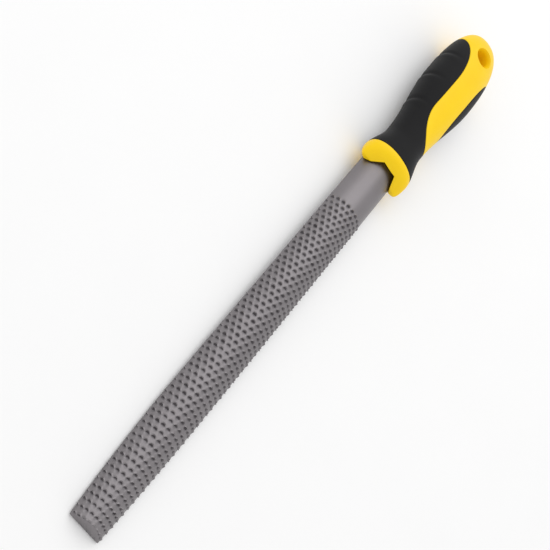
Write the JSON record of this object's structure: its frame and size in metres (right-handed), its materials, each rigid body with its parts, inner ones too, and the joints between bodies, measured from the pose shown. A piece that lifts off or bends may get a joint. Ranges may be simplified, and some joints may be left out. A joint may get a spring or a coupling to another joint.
{
  "type": "wood rasp",
  "caption": "Half-round steel wood rasp with staggered punched teeth and an oval two-shot moulded handle with a soft grip, a palm pad and a hanging hole.",
  "frame": {"origin": "on the blade's flat side, on the centre line of the bare heel, 14 mm in front of the handle's collar", "axes": "+X along the tool from handle to tip, +Z out of the round side, +Y to the side with the palm pad"},
  "size_m": [0.308, 0.0296, 0.0212],
  "materials": {
    "blade_steel": "satin, punched teeth",
    "hard_plastic": "smooth moulded, semi-gloss",
    "soft_plastic": "soft over-mould, matt"
  },
  "bodies": {
    "root": {"rasp_blade": "blade_steel", "handle_core": "hard_plastic", "grip_sleeve": "soft_plastic", "palm_pad": "soft_plastic"}
  },
  "joints": []
}
